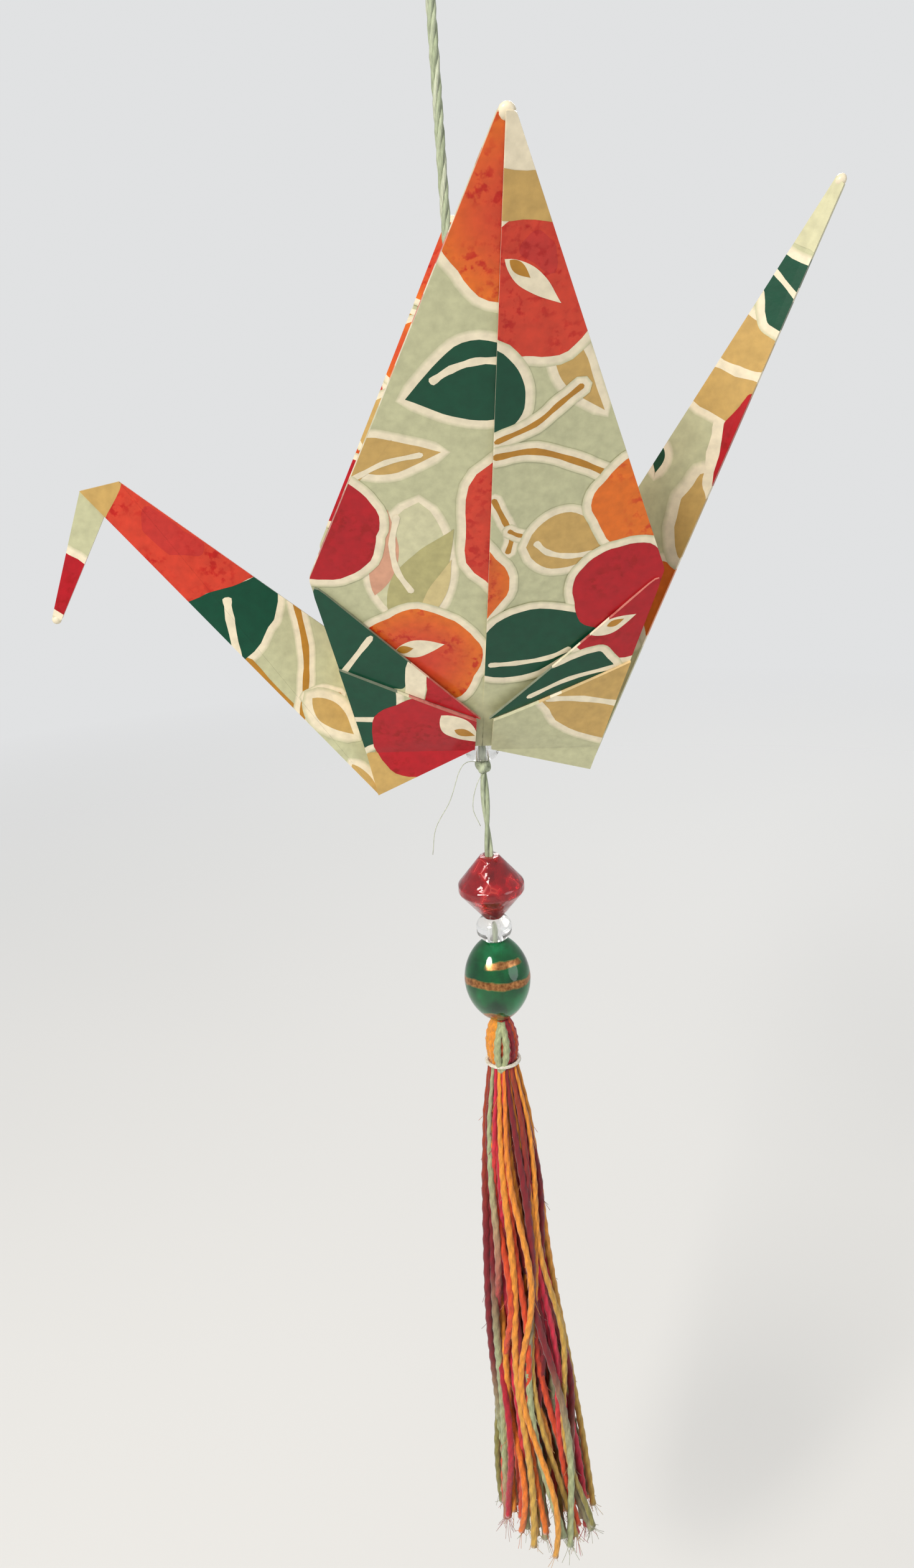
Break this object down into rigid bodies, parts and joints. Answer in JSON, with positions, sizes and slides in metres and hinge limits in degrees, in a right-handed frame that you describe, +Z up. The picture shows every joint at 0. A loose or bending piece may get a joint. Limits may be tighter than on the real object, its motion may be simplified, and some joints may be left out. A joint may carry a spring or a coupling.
{
  "type": "origami crane ornament",
  "caption": "Folded paper crane with raised wings, strung on a floss cord with a hanging loop, and a drop of beads ending in a thread tassel.",
  "frame": {"origin": "inside of the hanging loop's crest, where a hook bears", "axes": "+Z up along the hanging cord, +X towards the crane's tail, -Y towards the wing that faces the viewer"},
  "size_m": [0.0737, 0.0624, 0.2203],
  "materials": {
    "printed_paper": "printed paper under clear varnish",
    "floss": "soft twisted cotton",
    "clear_glass": "clear polished",
    "red_plastic": "translucent polished",
    "green_glass": "polished, with metallic swirls",
    "tassel_thread": "soft mixed cotton threads",
    "tie_thread": "thin white thread"
  },
  "bodies": {
    "root": {"paper_crane": "printed_paper", "hanging_loop": "floss", "loop_knot": "floss", "hanging_cord": "floss", "stopper_bead": "clear_glass", "stopper_knot": "floss", "pendant_cord": "floss", "red_bicone_bead": "red_plastic", "clear_spacer_bead": "clear_glass", "green_oval_bead": "green_glass", "tassel_head": "tassel_thread", "tassel_tie": "tie_thread", "tassel_skirt": "tassel_thread"}
  },
  "joints": []
}
